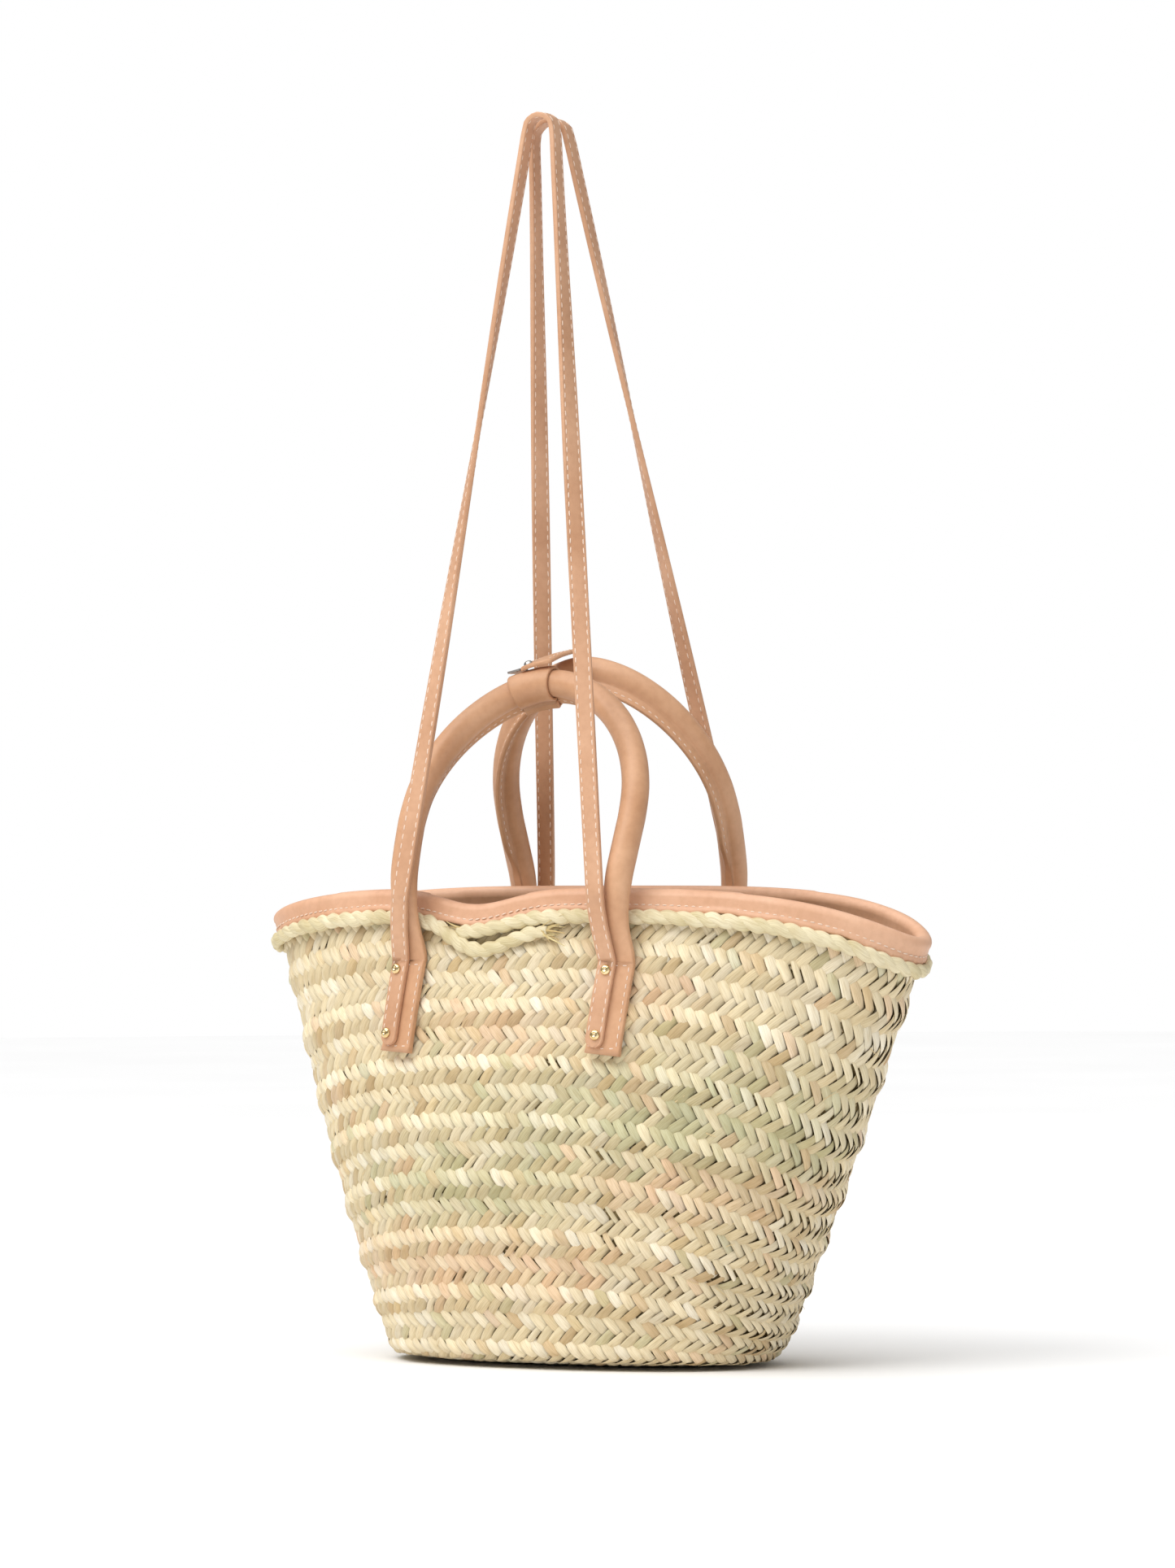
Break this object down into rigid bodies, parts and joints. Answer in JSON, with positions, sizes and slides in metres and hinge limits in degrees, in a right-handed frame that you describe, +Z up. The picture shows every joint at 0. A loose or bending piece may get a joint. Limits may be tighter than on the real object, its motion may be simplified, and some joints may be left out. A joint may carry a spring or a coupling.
{
  "type": "woven market basket",
  "caption": "Palm-braid market basket with leather-bound rim, two rolled leather handles and two long shoulder straps.",
  "frame": {"origin": "under the middle of the handles, on the surface that the basket stands on", "axes": "+Z up, +X along the basket's long side, which reaches further from the handles that way, -Y towards the front, which carries the handle with the keeper"},
  "size_m": [0.4314, 0.1761, 0.732],
  "materials": {
    "palm": "natural dried palm leaf in flat braids, matte with a slight leaf sheen",
    "palm_rope": "twisted palm leaf rope, slightly green",
    "binding_leather": "smooth peach leather, folded and stitched",
    "leather": "smooth natural tan leather, satin",
    "core_rope": "plain cotton rope",
    "gold_metal": "polished pale gold",
    "steel": "satin nickel"
  },
  "bodies": {
    "basket": {"woven_body": "palm", "edge_braid": "palm_rope", "rim_binding": "binding_leather", "front_left_tab": "leather", "front_left_strap_end": "leather", "front_left_backing_patch": "leather", "front_left_upper_rivet": "gold_metal", "front_left_upper_burr": "gold_metal", "front_left_lower_rivet": "gold_metal", "front_left_lower_burr": "gold_metal", "front_right_tab": "leather", "front_right_strap_end": "leather", "front_right_backing_patch": "leather", "front_right_upper_rivet": "gold_metal", "front_right_upper_burr": "gold_metal", "front_right_lower_rivet": "gold_metal", "front_right_lower_burr": "gold_metal", "back_left_tab": "leather", "back_left_strap_end": "leather", "back_left_backing_patch": "leather", "back_left_upper_rivet": "gold_metal", "back_left_upper_burr": "gold_metal", "back_left_lower_rivet": "gold_metal", "back_left_lower_burr": "gold_metal", "back_right_tab": "leather", "back_right_strap_end": "leather", "back_right_backing_patch": "leather", "back_right_upper_rivet": "gold_metal", "back_right_upper_burr": "gold_metal", "back_right_lower_rivet": "gold_metal", "back_right_lower_burr": "gold_metal"},
    "front_handle": {"front_handle_cover": "leather", "front_handle_rope_core": "core_rope", "keeper_sleeve": "leather", "keeper_plate": "steel"},
    "back_handle": {"back_handle_cover": "leather", "back_handle_rope_core": "core_rope"},
    "front_strap": {"front_strap": "leather"},
    "back_strap": {"back_strap": "leather"},
    "keeper_flap": {"keeper_flap": "leather", "keeper_stud": "steel"}
  },
  "joints": [
    {"name": "front_handle_swing", "type": "hinge", "parent": "basket", "child": "front_handle", "pos_m": [0, -0.0771, 0.2355], "axis": [1, -0.01, 0], "range_deg": [0, 100]},
    {"name": "back_handle_swing", "type": "hinge", "parent": "basket", "child": "back_handle", "pos_m": [0, 0.0771, 0.2355], "axis": [-1, -0.01, 0], "range_deg": [0, 100]},
    {"name": "front_strap_swing", "type": "hinge", "parent": "basket", "child": "front_strap", "pos_m": [0, -0.0771, 0.2355], "axis": [1, -0.01, 0], "range_deg": [0, 105]},
    {"name": "back_strap_swing", "type": "hinge", "parent": "basket", "child": "back_strap", "pos_m": [0, 0.0771, 0.2355], "axis": [-1, -0.01, 0], "range_deg": [0, 105]},
    {"name": "keeper_flap_lift", "type": "hinge", "parent": "front_handle", "child": "keeper_flap", "pos_m": [-0.00841, -0.02724, 0.40637], "axis": [0.9732, -0.0097, 0.2296], "range_deg": [0, 110]}
  ],
  "couplings": [
    {"joint": "front_strap_swing", "follows": "front_handle_swing", "ratio": 1.05},
    {"joint": "back_strap_swing", "follows": "back_handle_swing", "ratio": 1.05}
  ]
}
